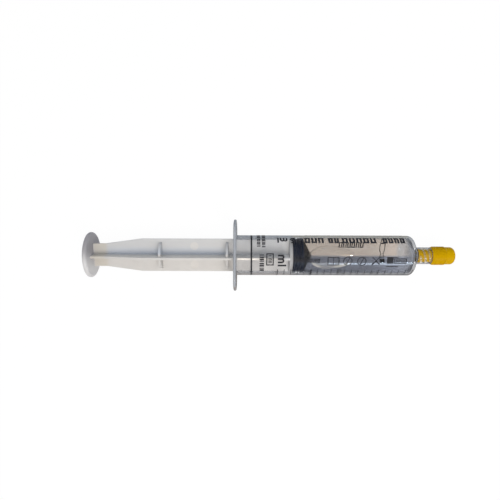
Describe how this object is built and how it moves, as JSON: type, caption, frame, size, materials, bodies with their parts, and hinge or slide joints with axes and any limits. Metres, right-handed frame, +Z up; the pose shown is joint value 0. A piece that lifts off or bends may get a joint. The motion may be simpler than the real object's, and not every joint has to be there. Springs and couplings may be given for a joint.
{
  "type": "prefilled syringe",
  "caption": "Clear prefilled syringe lying on its side: barrel with finger flange, ribbed plunger rod, dark stopper, liquid with an air bubble, and a yellow cap on its lock tip.",
  "frame": {"origin": "centre of the bounding box's footprint, on the surface the syringe lies on", "axes": "+X along the syringe towards the tip cap, +Z up from the surface, flange wings along Y"},
  "size_m": [0.195, 0.0382, 0.0247],
  "materials": {
    "barrel": "clear polypropylene, slightly milky, glossy",
    "fill": "clear watery liquid",
    "plunger_rod": "white moulded polypropylene, satin",
    "plunger_stopper": "dark blue-black rubber, lightly siliconed",
    "tip_cap": "yellow moulded plastic with fine grip grooves",
    "ink": "black printing ink"
  },
  "bodies": {
    "barrel": {"barrel": "barrel", "fill": "fill", "ink_ring": "ink", "ink_scale": "ink", "ink_numerals": "ink", "ink_label": "ink"},
    "plunger": {"plunger_rod": "plunger_rod", "plunger_stopper": "plunger_stopper"},
    "cap": {"tip_cap": "tip_cap"}
  },
  "joints": [
    {"name": "plunger_slide", "type": "slide", "parent": "barrel", "child": "plunger", "axis": [1, 0, 0], "range_m": [-0.026, 0.0565], "deforming": ["fill"]},
    {"name": "cap_pull", "type": "slide", "parent": "barrel", "child": "cap", "axis": [1, 0, 0], "range_m": [0, 0.03]}
  ]
}
